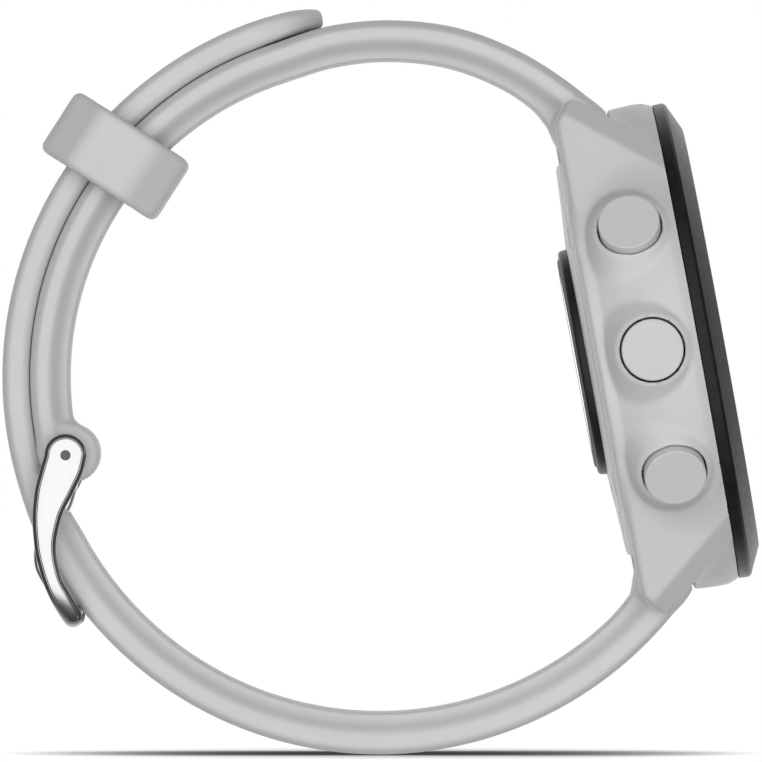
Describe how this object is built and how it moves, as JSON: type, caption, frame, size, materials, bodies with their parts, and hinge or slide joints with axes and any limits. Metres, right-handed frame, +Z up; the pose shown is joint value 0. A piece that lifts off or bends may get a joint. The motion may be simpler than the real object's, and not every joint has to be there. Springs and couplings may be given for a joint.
{
  "type": "gps running watch",
  "caption": "Round sports watch in a light grey case with a black bezel, side buttons, a rear optical sensor and a pierced silicone band buckled in a loop.",
  "frame": {"origin": "centre of the bounding box's base, under the buckled band where it stands on a surface", "axes": "+Z up; +X towards the display's side; +Y along the lug bars, from the 9 o'clock side to the 3 o'clock side"},
  "size_m": [0.066, 0.044, 0.0651],
  "materials": {
    "case": "light grey glass-fibre polymer, fine satin moulded surface",
    "button": "light grey bead-blasted coated metal caps",
    "bezel": "black satin ring with a bright-edged bevel",
    "black_polymer": "black moulded polymer",
    "lens": "flat clear hardened glass",
    "window": "dark tinted window over the optical sensor",
    "rubber": "black sealing rubber",
    "screen": "round reflective display",
    "board": "solder-masked circuit board",
    "cell": "foil pouch cell",
    "copper": "gold plated copper",
    "strap": "light grey silicone, very fine matt texture",
    "buckle": "polished steel with satin side faces",
    "steel": "bare stainless steel"
  },
  "bodies": {
    "watch": {"case_body": "case", "back_cover": "case", "bezel": "bezel", "lens": "lens", "sensor_window": "window", "lens_gasket": "rubber", "back_gasket": "rubber", "display_module": "screen", "inner_frame": "black_polymer", "main_board": "board", "sensor_board": "board", "battery": "cell", "vibration_motor": "steel", "buzzer": "copper", "gps_antenna": "copper", "sensor_ring": "black_polymer", "charge_port": "black_polymer", "left_switch_flex": "copper", "right_switch_flex": "copper", "upper_lug_bar": "steel", "lower_lug_bar": "steel", "upper_bar_spring": "steel", "lower_bar_spring": "steel", "upper_strap": "strap", "lower_strap": "strap", "buckle_bar": "steel", "back_screw_1": "steel", "back_screw_2": "steel", "back_screw_3": "steel", "back_screw_4": "steel", "up_spring": "steel", "up_seal": "rubber", "light_spring": "steel", "light_seal": "rubber", "down_spring": "steel", "down_seal": "rubber", "start_spring": "steel", "start_seal": "rubber", "back_spring": "steel", "back_seal": "rubber"},
    "vibration_weight": {"vibration_weight": "copper"},
    "keeper": {"keeper": "strap"},
    "buckle_frame": {"buckle_frame": "buckle"},
    "buckle_tongue": {"buckle_tongue": "buckle"},
    "upper_bar_release": {"upper_bar_release": "steel"},
    "lower_bar_release": {"lower_bar_release": "steel"},
    "up_button": {"up_button": "button", "up_clip": "steel"},
    "light_button": {"light_button": "button", "light_clip": "steel"},
    "down_button": {"down_button": "button", "down_clip": "steel"},
    "start_button": {"start_button": "button", "start_clip": "steel"},
    "back_button": {"back_button": "button", "back_clip": "steel"}
  },
  "joints": [
    {"name": "up_press", "type": "slide", "parent": "watch", "child": "up_button", "axis": [0, 1, 0], "range_m": [0, 0.0007], "stiffness_N_per_m": 2500, "springref_m": -0.0004, "deforming": ["up_spring"]},
    {"name": "light_press", "type": "slide", "parent": "watch", "child": "light_button", "axis": [0.0903, 0.866, -0.4918], "range_m": [0, 0.0007], "stiffness_N_per_m": 2500, "springref_m": -0.0004, "deforming": ["light_spring"]},
    {"name": "down_press", "type": "slide", "parent": "watch", "child": "down_button", "axis": [-0.0903, 0.866, 0.4918], "range_m": [0, 0.0007], "stiffness_N_per_m": 2500, "springref_m": -0.0004, "deforming": ["down_spring"]},
    {"name": "start_press", "type": "slide", "parent": "watch", "child": "start_button", "axis": [0.0903, -0.866, -0.4918], "range_m": [0, 0.0007], "stiffness_N_per_m": 2500, "springref_m": -0.0004, "deforming": ["start_spring"]},
    {"name": "back_press", "type": "slide", "parent": "watch", "child": "back_button", "axis": [-0.0903, -0.866, 0.4918], "range_m": [0, 0.0007], "stiffness_N_per_m": 2500, "springref_m": -0.0004, "deforming": ["back_spring"]},
    {"name": "upper_bar_squeeze", "type": "slide", "parent": "watch", "child": "upper_bar_release", "axis": [0, -1, 0], "range_m": [0, 0.0014], "stiffness_N_per_m": 1500, "springref_m": -0.0006, "deforming": ["upper_bar_spring"]},
    {"name": "lower_bar_squeeze", "type": "slide", "parent": "watch", "child": "lower_bar_release", "axis": [0, -1, 0], "range_m": [0, 0.0014], "stiffness_N_per_m": 1500, "springref_m": -0.0006, "deforming": ["lower_bar_spring"]},
    {"name": "keeper_slide_round_band", "type": "hinge", "parent": "watch", "child": "keeper", "pos_m": [-0.00017, 0.00061, 0.03293], "axis": [0, -1, 0], "range_deg": [-27, 37]},
    {"name": "buckle_pivot", "type": "hinge", "parent": "watch", "child": "buckle_frame", "pos_m": [-0.02744, 0.00061, 0.02608], "axis": [0, 1, 0], "range_deg": [0, 3.5]},
    {"name": "tongue_pivot", "type": "hinge", "parent": "buckle_frame", "child": "buckle_tongue", "pos_m": [-0.02744, 0.00061, 0.02608], "axis": [0, 1, 0], "range_deg": [0, 2]},
    {"name": "vibration_spin", "type": "hinge", "parent": "watch", "child": "vibration_weight", "pos_m": [0.02325, 0.00721, 0.03214], "axis": [-0.1805, 0, 0.9836], "continuous": true}
  ]
}
